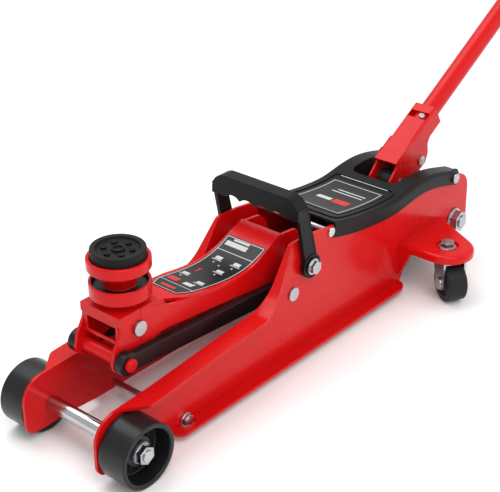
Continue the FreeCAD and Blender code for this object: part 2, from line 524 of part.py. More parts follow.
# --- pump plunger, its spring and the release valve -----------------------------------------------
cap_top = roller_z - roller_r
plunger = fused(rodZ(plunger_x, 0, plunger_r, plunger_foot, cap_top - 1),
                rodZ(plunger_x, 0, 12.5, cap_top - 4, cap_top - 0.02))
nodes["pump_plunger"] = plunger
coil_r, wire_r = 10.2, 1.1
helix = Part.makeHelix(6.4, cap_top - 4 - spring_seat - 2.6 * wire_r, coil_r)
helix.translate(V(plunger_x, 0, spring_seat + 1.3 * wire_r))
profile = Part.Wire([Part.makeCircle(wire_r, V(plunger_x + coil_r, 0, spring_seat + 1.3 * wire_r), V(0, 1, 0))])
nodes["pump_spring"] = Part.Wire(helix.Edges).makePipeShell([profile], True, True)
nodes["release_valve"] = fused(rodZ(valve_x, 0, 5, 80, 98), rodZ(valve_x, 0, 8, block_top + 0.2, 101)).cut(
    box(valve_x - 2, valve_x + 2, -10, 10, 97, 102))

# --- handle socket --------------------------------------------------------------------------------
tube = box(pole_start, 0, -socket_half, socket_half, -socket_face, socket_face)
tube = soften(tube, 4.0, lambda e: e.BoundBox.XLength > 50)
front_wall = box(-97, pole_start + 1, -socket_half, socket_half, socket_face - socket_wall, socket_face)
socket = fused(alongPole(tube), alongPole(front_wall))
cheek = plateY([(498, 121.4, 4), (511.5, 134.5, 0), (518.5, 144.5, 3), (581, 180, 0), (590, 165, 0),
                (581, 147.7, 6), (583, 135, 5), (578.3, 123.6, 5), (568, 118, 8), (548, 111, 10),
                (pump_x + 4, pump_z - 12, 9), (pump_x - 13, pump_z - 7, 9)],
               socket_half - socket_wall, socket_half)
socket = fused(socket, cheek, mirrored(cheek))
socket = socket.cut(alongPole(rodX(0, 0, pole_r + running, pole_start - 1, 2)))
socket = socket.cut(alongPole(box(button_at - 5.5, button_at + 5.5, -13.6, 13.6, 5, 20)))
socket = socket.cut(rodY(pump_x, pump_z, pump_pin_r + running, -20, 20))
nodes["handle_socket"] = socket.cut(rodY(roller_x, roller_z, roller_pin_r + running, -20, 20))
pump_pin = fused(rodY(pump_x, pump_z, pump_pin_r, -socket_half - 1, socket_half + 1),
                 rodY(pump_x, pump_z, 6, socket_half + 0.1, socket_half + 2),
                 rodY(pump_x, pump_z, 6, -socket_half - 2, -socket_half - 0.1))
nodes["socket_pivot_pin"] = pump_pin
roller_pin = fused(rodY(roller_x, roller_z, roller_pin_r, -socket_half - 1, socket_half + 1),
                   rodY(roller_x, roller_z, 6, socket_half + 0.1, socket_half + 2),
                   rodY(roller_x, roller_z, 6, -socket_half - 2, -socket_half - 0.1))
nodes["roller_pin"] = roller_pin
pump_roller = rodY(roller_x, roller_z, roller_r, -11, 11)
nodes["pump_roller"] = pump_roller.cut(rodY(roller_x, roller_z, roller_pin_r + running, -20, 20))

# --- handle pole ----------------------------------------------------------------------------------
joint_overlap = 50.0
bore_r = pole_r - pole_wall
lower = rodX(0, 0, pole_r, pole_start, pole_split - 0.1).cut(rodX(0, 0, bore_r, pole_start + 4, pole_split + 1))
joiner = rodX(0, 0, bore_r, pole_split - joint_overlap, pole_split + joint_overlap)
joiner = joiner.cut(rodX(0, 0, bore_r - 2, pole_split - joint_overlap - 1, pole_split + joint_overlap + 1))
spigot = rodX(0, 0, 5, pole_start - 14, pole_start + 1)
lower = fused(lower, joiner, spigot)
button_hole = rodZ(button_at, 0, button_r + running, 0, pole_r + 3)
button_hole.rotate(V(0, 0, 0), V(1, 0, 0), button_angle)
bolt_hole = rodY(pole_split + 25, 0, 3 + running, -20, 20)
nodes["lower_pole"] = alongPole(lower.cut(button_hole).cut(bolt_hole))
upper = rodX(0, 0, pole_r, pole_split, pole_end).cut(rodX(0, 0, bore_r + running, pole_split - 1, pole_end + 1))
nodes["upper_pole"] = alongPole(upper.cut(bolt_hole))
pole_bolt = fused(rodY(pole_split + 25, 0, 3, -pole_r - 5, pole_r + 3),
                  rodY(pole_split + 25, 0, 5.5, pole_r + 0.2, pole_r + 3.4),
                  hexY(pole_split + 25, 0, 10, -pole_r - 5, -pole_r - 0.2))
nodes["pole_bolt"] = alongPole(pole_bolt)
button = rodZ(button_at, 0, button_r, 4, pole_r + 3.6).fuse(rodZ(button_at, 0, button_r + 1.2, 4, 6))
button = soften(button.removeSplitter(), 1.5, lambda e: e.BoundBox.ZMin > pole_r + 3.5)
button.rotate(V(0, 0, 0), V(1, 0, 0), button_angle)
nodes["spring_button"] = alongPole(button)
grip_length, grip_r = 122.0, 16.0
grip = rodX(0, 0, grip_r, pole_end - grip_length, pole_end + 4)
grip = soften(grip, 3.0, lambda e: e.Curve.TypeId == "Part::GeomCircle")
for i in range(9):
    groove = rodX(0, 0, grip_r + 1, pole_end - grip_length + 14 + 11 * i, pole_end - grip_length + 18 + 11 * i)
    grip = grip.cut(groove.cut(rodX(0, 0, grip_r - 1.4, 0, pole_end + 10)))
nodes["grip"] = alongPole(grip.cut(rodX(0, 0, pole_r + running, pole_end - grip_length - 1, pole_end + 0.1)))

# --- carry handle ---------------------------------------------------------------------------------
leg_front, leg_back = 262.0, 279.0
bail_leg = plateY([(leg_front, 190, 0), (leg_back, 190, 0), (arm_x + 8, 138, 30), (arm_x + 14.5, arm_z + 3, 10),
                   (arm_x + 14.5, arm_z - 14.5, 14), (arm_x - 14.5, arm_z - 14.5, 14),
                   (arm_x - 15.5, 132, 20)], -bail_out, -bail_in)
bail_leg = bail_leg.fuse(rodY(arm_x, arm_z, 12, -bail_in - 0.5, -web_out - 0.2)).removeSplitter()
hoop = plateX([(-bail_out, 176, 0), (-bail_out, bail_top, 18), (bail_out, bail_top, 18), (bail_out, 176, 0),
               (46, 176, 3), (44, 181, 6), (34, 176, 6), (28, 174.5, 6), (20, 179.5, 6), (14, 179.5, 6),
               (0, 174.5, 8), (-14, 179.5, 6), (-20, 179.5, 6), (-28, 174.5, 6), (-34, 176, 6),
               (-44, 181, 6), (-46, 176, 3)],
              leg_front, leg_back)
hoop_edges = lambda e: abs(e.BoundBox.XLength) < 0.01 and e.BoundBox.ZMin > 182
hoop = soften(hoop, 3.0, hoop_edges)
bail = fused(bail_leg, mirrored(bail_leg), hoop)
bail = bail.cut(rodY(arm_x, arm_z, shaft_screw_r + 0.6 + running, -bail_out - 1, bail_out + 1))
nodes["carry_handle"] = bail
bail_bolt = fused(rodY(arm_x, arm_z, shaft_screw_r, -bail_out - 1, -web_out + shaft_screw_depth - 0.2),
                  rodY(arm_x, arm_z, 9.5, -bail_out - 1.8, -bail_out - 0.2),
                  hexY(arm_x, arm_z, 14, -bail_out - 6.5, -bail_out - 1.7))
nodes["carry_handle_bolts"] = bothSides(bail_bolt)

# --- place over the origin and write --------------------------------------------------------------
whole = Part.makeCompound(list(nodes.values())).optimalBoundingBox(False, False)
middle = (whole.XMin + whole.XMax) / 2
print("middle", round(middle, 4), "floor", round(whole.ZMin, 3))
print("box", round(whole.XLength, 2), round(whole.YLength, 2), round(whole.ZLength, 2))
os.makedirs("parts", exist_ok=True)
for name, shape in nodes.items():
    placed = shape.copy()
    placed.translate(V(-middle, 0, 0))
    placed.exportStep("parts/" + name + ".step")
print(len(nodes), "nodes")
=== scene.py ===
import bpy
import bmesh
import json
import math
from mathutils import Vector, Matrix


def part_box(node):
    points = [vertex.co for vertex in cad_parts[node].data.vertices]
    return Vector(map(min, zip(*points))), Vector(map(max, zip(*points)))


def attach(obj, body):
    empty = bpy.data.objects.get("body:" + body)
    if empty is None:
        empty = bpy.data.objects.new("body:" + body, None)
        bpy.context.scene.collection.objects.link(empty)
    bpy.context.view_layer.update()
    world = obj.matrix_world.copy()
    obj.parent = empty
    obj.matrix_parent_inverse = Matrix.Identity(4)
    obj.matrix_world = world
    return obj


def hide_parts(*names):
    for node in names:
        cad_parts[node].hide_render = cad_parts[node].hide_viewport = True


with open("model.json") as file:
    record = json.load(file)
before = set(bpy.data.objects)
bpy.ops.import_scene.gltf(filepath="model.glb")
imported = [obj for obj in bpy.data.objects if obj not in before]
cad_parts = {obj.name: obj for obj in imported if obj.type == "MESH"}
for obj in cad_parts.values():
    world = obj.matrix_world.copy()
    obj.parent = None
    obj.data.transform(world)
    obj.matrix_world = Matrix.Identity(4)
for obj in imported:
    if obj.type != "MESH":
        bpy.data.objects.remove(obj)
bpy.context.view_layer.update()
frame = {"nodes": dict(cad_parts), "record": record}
nodes = frame["nodes"]
print("frame loaded:", len(nodes), "parts")


# shader effects shared between finishes
def newGroup(name, inputs, outputs):
    group = bpy.data.node_groups.new(name, "ShaderNodeTree")
    for socketName, kind, value in inputs:
        group.interface.new_socket(name=socketName, in_out="INPUT", socket_type=kind).default_value = value
    for socketName, kind in outputs:
        group.interface.new_socket(name=socketName, in_out="OUTPUT", socket_type=kind)
    enter = group.nodes.new("NodeGroupInput")
    leave = group.nodes.new("NodeGroupOutput")
    return group, enter, leave


def addNode(tree, kind, **settings):
    node = tree.nodes.new(kind)
    for key, value in settings.items():
        if key in node.inputs:
            node.inputs[key].default_value = value
        else:
            setattr(node, key, value)
    return node


def wire(tree, source, target):
    tree.links.new(source, target)


def makeCoatRipple():  # the slight orange peel of sprayed paint, and where it is thinner
    group, enter, leave = newGroup("coatRipple",
                                   [("Ripple Scale", "NodeSocketFloat", 500.0),
                                    ("Cloud Scale", "NodeSocketFloat", 18.0)],
                                   [("Height", "NodeSocketFloat"), ("Cloud", "NodeSocketFloat")])
    place = addNode(group, "ShaderNodeTexCoord")
    ripple = addNode(group, "ShaderNodeTexNoise", Detail=2.0, Roughness=0.4)
    cloud = addNode(group, "ShaderNodeTexNoise", Detail=4.0, Roughness=0.55)
    for texture in (ripple, cloud):
        wire(group, place.outputs["Object"], texture.inputs["Vector"])
    wire(group, enter.outputs["Ripple Scale"], ripple.inputs["Scale"])
    wire(group, enter.outputs["Cloud Scale"], cloud.inputs["Scale"])
    wire(group, ripple.outputs["Fac"], leave.inputs["Height"])
    wire(group, cloud.outputs["Fac"], leave.inputs["Cloud"])
    return group


def makeMouldGrain():  # fine spark-eroded texture of moulded plastic and rubber
    group, enter, leave = newGroup("mouldGrain", [("Grain Scale", "NodeSocketFloat", 1500.0)],
                                   [("Height", "NodeSocketFloat"), ("Patch", "NodeSocketFloat")])
    place = addNode(group, "ShaderNodeTexCoord")
    cells = addNode(group, "ShaderNodeTexVoronoi")
    patch = addNode(group, "ShaderNodeTexNoise", Scale=30.0, Detail=5.0, Roughness=0.6)
    wire(group, place.outputs["Object"], cells.inputs["Vector"])
    wire(group, place.outputs["Object"], patch.inputs["Vector"])
    wire(group, enter.outputs["Grain Scale"], cells.inputs["Scale"])
    wire(group, cells.outputs["Distance"], leave.inputs["Height"])
    wire(group, patch.outputs["Fac"], leave.inputs["Patch"])
    return group


def makeMetalGrain():  # streaks of drawn or turned steel, stretched along one axis
    group, enter, leave = newGroup("metalGrain", [("Stretch", "NodeSocketVector", (60.0, 1500.0, 1500.0))],
                                   [("Streak", "NodeSocketFloat"), ("Stain", "NodeSocketFloat")])
    place = addNode(group, "ShaderNodeTexCoord")
    spread = addNode(group, "ShaderNodeVectorMath", operation="MULTIPLY")
    streak = addNode(group, "ShaderNodeTexNoise", Scale=1.0, Detail=4.0, Roughness=0.6)
    stain = addNode(group, "ShaderNodeTexNoise", Scale=70.0, Detail=5.0, Roughness=0.65)
    wire(group, place.outputs["Object"], spread.inputs[0])
    wire(group, enter.outputs["Stretch"], spread.inputs[1])
    wire(group, spread.outputs["Vector"], streak.inputs["Vector"])
    wire(group, place.outputs["Object"], stain.inputs["Vector"])
    wire(group, streak.outputs["Fac"], leave.inputs["Streak"])
    wire(group, stain.outputs["Fac"], leave.inputs["Stain"])
    return group


coatRipple = makeCoatRipple()
mouldGrain = makeMouldGrain()
metalGrain = makeMetalGrain()


def startMaterial(name):
    material = bpy.data.materials.new(name)
    material.use_nodes = True
    tree = material.node_tree
    return material, tree, tree.nodes["Principled BSDF"]


def placeGroup(tree, group):
    node = tree.nodes.new("ShaderNodeGroup")
    node.node_tree = group
    return node


def blendColours(tree, mask, first, second):
    mix = tree.nodes.new("ShaderNodeMix")
    mix.data_type = "RGBA"
    mix.inputs[6].default_value = (*first, 1)
    mix.inputs[7].default_value = (*second, 1)
    wire(tree, mask, mix.inputs[0])
    return mix.outputs[2]


def rangeOf(tree, value, low, high, fromLow=0.3, fromHigh=0.7):
    node = tree.nodes.new("ShaderNodeMapRange")
    node.inputs["From Min"].default_value = fromLow
    node.inputs["From Max"].default_value = fromHigh
    node.inputs["To Min"].default_value = low
    node.inputs["To Max"].default_value = high
    wire(tree, value, node.inputs["Value"])
    return node.outputs["Result"]


def bumpFrom(tree, height, strength, distance):
    bump = tree.nodes.new("ShaderNodeBump")
    bump.inputs["Strength"].default_value = strength
    bump.inputs["Distance"].default_value = distance
    wire(tree, height, bump.inputs["Height"])
    return bump.outputs["Normal"]


def paintFinish(name, light, deep, rough=(0.22, 0.32), coat=0.12, gloss=0.16):
    material, tree, skin = startMaterial(name)
    skin.inputs["Specular IOR Level"].default_value = gloss
    ripple = placeGroup(tree, coatRipple)
    wire(tree, blendColours(tree, ripple.outputs["Cloud"], light, deep), skin.inputs["Base Color"])
    wire(tree, rangeOf(tree, ripple.outputs["Cloud"], *rough), skin.inputs["Roughness"])
    wire(tree, bumpFrom(tree, ripple.outputs["Height"], 0.06, 0.0004), skin.inputs["Normal"])
    skin.inputs["Coat Weight"].default_value = coat
    skin.inputs["Coat Roughness"].default_value = 0.08
    return material


def plasticFinish(name, light, deep, rough, grain, strength, gloss=0.14):
    material, tree, skin = startMaterial(name)
    skin.inputs["Specular IOR Level"].default_value = gloss
    texture = placeGroup(tree, mouldGrain)
    texture.inputs["Grain Scale"].default_value = grain
    wire(tree, blendColours(tree, texture.outputs["Patch"], light, deep), skin.inputs["Base Color"])
    wire(tree, rangeOf(tree, texture.outputs["Patch"], *rough), skin.inputs["Roughness"])
    wire(tree, bumpFrom(tree, texture.outputs["Height"], strength, 0.0003), skin.inputs["Normal"])
    return material


def metalFinish(name, light, deep, rough, stretch=(60, 1500, 1500), strength=0.08):
    material, tree, skin = startMaterial(name)
    grain = placeGroup(tree, metalGrain)
    grain.inputs["Stretch"].default_value = stretch
    wire(tree, blendColours(tree, grain.outputs["Stain"], light, deep), skin.inputs["Base Color"])
    wire(tree, rangeOf(tree, grain.outputs["Streak"], *rough), skin.inputs["Roughness"])
    wire(tree, bumpFrom(tree, grain.outputs["Streak"], strength, 0.0002), skin.inputs["Normal"])
    skin.inputs["Metallic"].default_value = 1.0
    return material


redPaint = paintFinish("redPaint", (0.62, 0.004, 0.005), (0.54, 0.003, 0.004))
# black paint of the links, also used as painted shade inside the saddle cup and on the extension's post
blackPaintAndShade = paintFinish("blackPaintAndShade", (0.004, 0.004, 0.0045), (0.008, 0.008, 0.009), (0.26, 0.38),
                         coat=0.15, gloss=0.2)
unitPaint = paintFinish("unitPaint", (0.02, 0.02, 0.022), (0.03, 0.03, 0.032), (0.45, 0.6), coat=0.1)
coverPlastic = plasticFinish("coverPlastic", (0.005, 0.005, 0.006), (0.009, 0.009, 0.01), (0.3, 0.42),
                             grain=1700, strength=0.12)
handlePlastic = plasticFinish("handlePlastic", (0.005, 0.005, 0.0055), (0.009, 0.009, 0.0095), (0.3, 0.42),
                              grain=1500, strength=0.15)
wheelNylon = plasticFinish("wheelNylon", (0.005, 0.005, 0.006), (0.009, 0.009, 0.01), (0.26, 0.36),
                           grain=900, strength=0.06, gloss=0.32)
casterNylon = plasticFinish("casterNylon", (0.014, 0.014, 0.015), (0.022, 0.022, 0.023), (0.35, 0.5),
                            grain=1100, strength=0.1)
padRubber = plasticFinish("padRubber", (0.007, 0.007, 0.007), (0.013, 0.013, 0.012), (0.45, 0.6),
                          grain=1300, strength=0.3)
gripRubber = plasticFinish("gripRubber", (0.014, 0.014, 0.014), (0.024, 0.024, 0.024), (0.55, 0.75),
                           grain=1400, strength=0.3)
zincPlate = metalFinish("zincPlate", (0.5, 0.52, 0.54), (0.4, 0.41, 0.43), (0.2, 0.38))
chromeRod = metalFinish("chromeRod", (0.58, 0.58, 0.6), (0.5, 0.5, 0.52), (0.1, 0.22),
                        stretch=(1500, 40, 1500), strength=0.04)
plainSteel = metalFinish("plainSteel", (0.45, 0.45, 0.46), (0.34, 0.34, 0.35), (0.3, 0.5))

finishOf = {
    "paint_red": redPaint, "cup_paint": redPaint, "link_black": blackPaintAndShade, "cover_plastic": coverPlastic,
    "handle_plastic": handlePlastic, "wheel_nylon": wheelNylon, "caster_nylon": casterNylon, "zinc": zincPlate,
    "chrome_rod": chromeRod, "steel": plainSteel, "unit_paint": unitPaint, "pad_rubber": padRubber,
    "grip_rubber": gripRubber, "arm_label": handlePlastic, "cover_label": handlePlastic,
}
for part in frame["record"]["subparts"]:
    target = nodes[part["node"]]
    target.data.materials.clear()
    target.data.materials.append(finishOf[part["material_slot"]])
print("finishes placed")

# helpers for the modelled pieces
axleX = (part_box("front_axle")[0][0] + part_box("front_axle")[1][0]) / 2


def spot(x, y, z):  # millimetres back from the front axle, to the right, and up from the floor
    return Vector((axleX + x / 1000, y / 1000, z / 1000))


def clearPick():
    if bpy.context.object and bpy.context.object.mode != "OBJECT":
        bpy.ops.object.mode_set(mode="OBJECT")
    bpy.ops.object.select_all(action="DESELECT")


def startPiece(name, addPrimitive, **settings):
    clearPick()
    addPrimitive(**settings)
    piece = bpy.context.object
    piece.name = name
    piece.data.name = name
    return piece

def startBox(name, low, high):  # a cube stretched between two corners, left in edit mode
    middle = [(a + b) / 2 for a, b in zip(low, high)]
    box = startPiece(name, bpy.ops.mesh.primitive_cube_add, size=1, location=spot(*middle))
    bpy.ops.object.mode_set(mode="EDIT")
    bpy.ops.transform.resize(value=[(b - a) / 1000 for a, b in zip(low, high)])
    return box


def startSheet(name, front, back, half, height):  # a flat sheet across the middle, left in edit mode
    middle = (front + back) / 2
    sheet = startPiece(name, bpy.ops.mesh.primitive_plane_add, size=1, location=spot(middle, 0, height))
    bpy.ops.object.mode_set(mode="EDIT")
    bpy.ops.transform.resize(value=((back - front) / 1000, 2 * half / 1000, 1))
    return sheet


def copyPiece(source, name, place):  # another of an unfinished piece, with its own mesh
    piece = source.copy()
    piece.data = source.data.copy()
    piece.name = name
    piece.data.name = name
    piece.location = place
    bpy.context.scene.collection.objects.link(piece)
    return piece


def mirrored(place):
    return Vector((place.x, -place.y, place.z))
def copyNode(name, nodeName):  # a joined copy of a CAD piece, with flat areas as single faces
    clearPick()
    source = nodes[nodeName]
    piece = source.copy()
    piece.data = source.data.copy()
    piece.modifiers.clear()
    for key in list(piece.keys()):
        if key.startswith("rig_"):
            del piece[key]
    piece.parent = None
    piece.name = name
    piece.data.name = name
    piece.data.materials.clear()
    bpy.context.scene.collection.objects.link(piece)
    bpy.context.view_layer.objects.active = piece
    piece.select_set(True)
    bpy.ops.object.mode_set(mode="EDIT")
    bpy.ops.mesh.select_all(action="SELECT")
    bpy.ops.mesh.remove_doubles(threshold=0.00001)
    bpy.ops.mesh.dissolve_limited(angle_limit=math.radians(0.6))
    bpy.ops.object.mode_set(mode="OBJECT")
    return piece


def pickFaces(piece, test):
    bpy.ops.object.mode_set(mode="EDIT")
    bpy.ops.mesh.select_mode(type="FACE")
    bpy.ops.mesh.select_all(action="DESELECT")
    shape = bmesh.from_edit_mesh(piece.data)
    turn = piece.matrix_world.to_3x3()
    for face in shape.faces:
        if test(piece.matrix_world @ face.calc_center_median(), (turn @ face.normal).normalized()):
            face.select_set(True)
    bmesh.update_edit_mesh(piece.data)


def pickEdges(piece, test):
    bpy.ops.object.mode_set(mode="EDIT")
    bpy.ops.mesh.select_mode(type="EDGE")
    bpy.ops.mesh.select_all(action="DESELECT")
    shape = bmesh.from_edit_mesh(piece.data)
    for edge in shape.edges:
        ends = [piece.matrix_world @ v.co for v in edge.verts]
        if test(ends[0], ends[1], edge):
            edge.select_set(True)
    bmesh.update_edit_mesh(piece.data)


def stepIn(steps):  # each step narrows the picked face and moves it along its normal
    for narrow, push in steps:
        bpy.ops.mesh.inset(thickness=narrow / 1000, depth=push / 1000)

def cutAt(piece, point, normal, dropOuter=False, fill=False):
    bpy.ops.object.mode_set(mode="EDIT")
    bpy.ops.mesh.select_all(action="SELECT")
    bpy.ops.mesh.bisect(plane_co=point, plane_no=Vector(normal).normalized(),
                        clear_outer=dropOuter, use_fill=fill)


def cutAcross(piece, front, back, pitch=4):  # evenly spaced cuts, so that a sheet can follow a curved face
    for i in range(1, int((back - front) / pitch)):
        cutAt(piece, spot(front + i * pitch, 0, 0), (1, 0, 0))


def addBevel(piece, width, segments, angle):
    bevel = piece.modifiers.new("roundEdges", "BEVEL")
    bevel.width = width / 1000
    bevel.segments = segments
    bevel.limit_method = "ANGLE"
    bevel.angle_limit = math.radians(angle)
    bevel.use_clamp_overlap = True


def bevelEdges(piece, width, segments=3, angle=35):
    bpy.ops.object.mode_set(mode="OBJECT")
    addBevel(piece, width, segments, angle)

def paintFaces(piece, material, test):
    piece.data.materials.append(material)
    pickFaces(piece, test)
    piece.active_material_index = len(piece.data.materials) - 1
    bpy.ops.object.material_slot_assign()
    bpy.ops.object.mode_set(mode="OBJECT")


def finishPiece(piece, body, replaced=(), smooth=35):
    clearPick()
    bpy.context.view_layer.objects.active = piece
    piece.select_set(True)
    for modifier in list(piece.modifiers):
        bpy.ops.object.modifier_apply(modifier=modifier.name)
    bpy.ops.object.transform_apply(location=True, rotation=True, scale=True)
    bpy.ops.object.shade_smooth_by_angle(angle=math.radians(smooth))
    flatten = piece.modifiers.new("flatten", "WEIGHTED_NORMAL")  # broad faces stay flat beside rounded edges
    flatten.keep_sharp = True
    bpy.ops.object.modifier_apply(modifier=flatten.name)
    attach(piece, body)
    if replaced:
        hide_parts(*replaced)
    print("made", piece.name)

# rounded edges on the small CAD pieces: joined, then bevelled where faces meet at an angle
edgeRound = {"handle_socket": 0.7, "front_axle_nuts": 0.5, "through_bolt_nuts": 0.7, "caster_nuts": 0.5,
             "caster_fork_left": 0.5, "caster_fork_right": 0.5, "carry_handle_bolts": 0.5,
             "upper_pin": 0.6, "lower_pin": 0.6, "front_tie_rod_nuts": 0.4, "link_pivot_pins": 0.6,
             "cover_rear_screws": 0.6, "power_unit_block": 0.6, "roller_pin": 0.5,
             "socket_pivot_pin": 0.5, "caster_axle_left": 0.5, "caster_axle_right": 0.5, "cover_cross_rod": 0.4}
for name, width in edgeRound.items():
    join = nodes[name].modifiers.new("join", "WELD")
    join.merge_threshold = 0.00001
    addBevel(nodes[name], width, 2, 38)

# side plates: sheet with rounded bends and softened edges
sidePlate = {"webIn": 50.3, "sheet": 3.4, "topFlange": (4, 252), "topAbove": 70.0, "footFlange": (66, 468),
             "footBelow": 12.5, "hornTop": 65.0, "bendOut": 4.5, "bendIn": 2.2, "fold": 0.6, "hornRoot": 12.0,
             "edge": 0.8, "near": 0.2}


def onFlange(ends, level, span):  # both ends lie on the web's face, between two places along the plate
    low, high = spot(span[0], 0, 0).x, spot(span[1], 0, 0).x
    return all(abs(abs(p.y) - level) < sidePlate["near"] / 1000 and low < p.x < high for p in ends)


def onTop(ends, level):
    above = sidePlate["topAbove"] / 1000
    return onFlange(ends, level, sidePlate["topFlange"]) and all(p.z > above for p in ends)


def onFoot(ends, level):
    below = sidePlate["footBelow"] / 1000
    return onFlange(ends, level, sidePlate["footFlange"]) and all(p.z < below for p in ends)


def onHornRoot(ends, level):
    reach = 1.5 * sidePlate["near"] / 1000
    return all(abs(abs(p.y) - level) < reach and abs(p.z - sidePlate["hornTop"] / 1000) < reach for p in ends)


def roundPicked(width, segments):
    bpy.ops.mesh.bevel(offset=width / 1000, segments=segments, affect="EDGES", clamp_overlap=True)


webIn, webOut = sidePlate["webIn"] / 1000, (sidePlate["webIn"] + sidePlate["sheet"]) / 1000
for sideName in ("left", "right"):
    plate = copyNode("sidePlate_" + sideName, "side_plate_" + sideName)
    plate.data.materials.append(redPaint)
    pickEdges(plate, lambda a, b, edge: onTop((a, b), webIn) or onFoot((a, b), webIn))
    roundPicked(sidePlate["bendOut"], 5)
    pickEdges(plate, lambda a, b, edge: onTop((a, b), webOut) and edge.calc_face_angle(0) > sidePlate["fold"])
    roundPicked(sidePlate["bendIn"], 3)
    pickEdges(plate, lambda a, b, edge: onHornRoot((a, b), webOut))
    roundPicked(sidePlate["hornRoot"], 7)
    bevelEdges(plate, sidePlate["edge"], 2, 40)
    finishPiece(plate, "chassis", ["side_plate_" + sideName], 32)

# other pressed, welded and moulded pieces taken over with rounded edges
roundedCopies = {
    "liftArm": {"node": "lift_arm", "body": "arm", "material": redPaint, "slot": "paint_red", "edge": 1.0},
    "saddleBracket": {"node": "saddle_bracket", "body": "bracket", "material": redPaint, "slot": "paint_red",
                      "edge": 1.0},
    "link_left": {"node": "link_left", "body": "bar_left", "material": blackPaintAndShade, "slot": "link_black",
                  "edge": 2.2},
    "link_right": {"node": "link_right", "body": "bar_right", "material": blackPaintAndShade, "slot": "link_black",
                   "edge": 2.2},
    "coverShell": {"node": "cover", "body": "chassis", "material": coverPlastic, "slot": "cover_plastic",
                   "edge": 0.8},
}
for name, choice in roundedCopies.items():
    piece = copyNode("rounded_" + name, choice["node"])
    piece.data.materials.append(choice["material"])
    bevelEdges(piece, choice["edge"], 3, 40)
    finishPiece(piece, choice["body"], [choice["node"]], 32)

# carry handle: a bar with finger grooves, and a ribbed leg with a round eye on each side
carryHandle = {"front": 262.0, "back": 279.0, "half": 61.6, "top": 199.8, "low": 175.0, "corner": 19.0,
               "legIn": 56.9, "legFoot": (277.5, 298.5), "legTop": 188.0, "panel": [(3.0, -1.0)],
               "eyeX": 288.0, "eyeZ": 112.0, "eyeRadius": 14.3, "eyeSteps": [(2.0, 0), (0.6, -0.8)],
               "grooves": (-31.5, -10.5, 10.5, 31.5), "grooveX": 270.0, "grooveRadius": 13.5,
               "grooveDeep": 4.0, "grooveLength": 40.0, "edge": 1.1}


def merge(piece, other, operation):
    blend = piece.modifiers.new("merge", "BOOLEAN")
    blend.operation = operation
    blend.solver = "EXACT"
    blend.object = other
    clearPick()
    bpy.context.view_layer.objects.active = piece
    bpy.ops.object.modifier_apply(modifier=blend.name)
    bpy.data.objects.remove(other)


def handleLeg(shape, side):
    inner, outer = sorted((side * shape["legIn"], side * shape["half"]))
    leg = startBox("leg", (shape["front"], inner, shape["eyeZ"]), (shape["back"], outer, shape["legTop"]))
    pickFaces(leg, lambda place, normal: normal.z < -0.9)
    low, high = shape["legFoot"]
    grow = (high - low) / (shape["back"] - shape["front"])
    bpy.ops.transform.resize(value=(grow, 1, 1))
    bpy.ops.transform.translate(value=((low + high - shape["front"] - shape["back"]) / 2000, 0, 0))
    pickFaces(leg, lambda place, normal: normal.y * side > 0.9)
    stepIn(shape["panel"])
    bpy.ops.object.mode_set(mode="OBJECT")
    eye = startPiece("eye", bpy.ops.mesh.primitive_cylinder_add, vertices=48, radius=shape["eyeRadius"] / 1000,
                     depth=(outer - inner) / 1000, rotation=(math.pi / 2, 0, 0),
                     location=spot(shape["eyeX"], (inner + outer) / 2, shape["eyeZ"]))
    pickFaces(eye, lambda place, normal: normal.y * side > 0.9)
    stepIn(shape["eyeSteps"])
    bpy.ops.object.mode_set(mode="OBJECT")
    merge(leg, eye, "UNION")
    return leg


handle = startBox("carryHandle", (carryHandle["front"], -carryHandle["half"], carryHandle["low"]),
                  (carryHandle["back"], carryHandle["half"], carryHandle["top"]))
barTop = carryHandle["top"] / 1000
pickEdges(handle, lambda a, b, edge: min(a.z, b.z) > barTop - 0.0001 and abs(a.y - b.y) < 0.0001)
bpy.ops.mesh.bevel(offset=carryHandle["corner"] / 1000, segments=10, affect="EDGES")
bpy.ops.object.mode_set(mode="OBJECT")
grooveZ = carryHandle["low"] + carryHandle["grooveDeep"] - carryHandle["grooveRadius"]
for across in carryHandle["grooves"]:
    cutter = startPiece("groove", bpy.ops.mesh.primitive_cylinder_add, vertices=48,
                        radius=carryHandle["grooveRadius"] / 1000, depth=carryHandle["grooveLength"] / 1000,
                        rotation=(0, math.pi / 2, 0), location=spot(carryHandle["grooveX"], across, grooveZ))
    merge(handle, cutter, "DIFFERENCE")
for side in (-1, 1):
    merge(handle, handleLeg(carryHandle, side), "UNION")
handle.data.materials.clear()
handle.data.materials.append(handlePlastic)
bevelEdges(handle, carryHandle["edge"], 3, 40)
finishPiece(handle, "bail", ["carry_handle"], 32)

# side cheeks of the saddle bracket, lapping over the end of the lift arm; each cut is a place and a slope
cheek = {"front": 58.0, "back": 112.0, "low": 112.2, "high": 150.6, "inner": 28.1, "outer": 28.4,
         "cuts": [((86, 150.6), (11, 9)), ((99, 139.8), (3.6, 13))], "edge": 0.12}
cheekLeft = startBox("bracketCheek_left", (cheek["front"], -cheek["outer"], cheek["low"]),
                     (cheek["back"], -cheek["inner"], cheek["high"]))
cheekLeft.data.materials.append(redPaint)
for (x, z), (slopeX, slopeZ) in cheek["cuts"]:
    cutAt(cheekLeft, spot(x, 0, z), (slopeX, 0, slopeZ), dropOuter=True, fill=True)
bevelEdges(cheekLeft, cheek["edge"], 2, 50)
cheekRight = copyPiece(cheekLeft, "bracketCheek_right", mirrored(cheekLeft.location))
for lap in (cheekLeft, cheekRight):
    finishPiece(lap, "bracket")

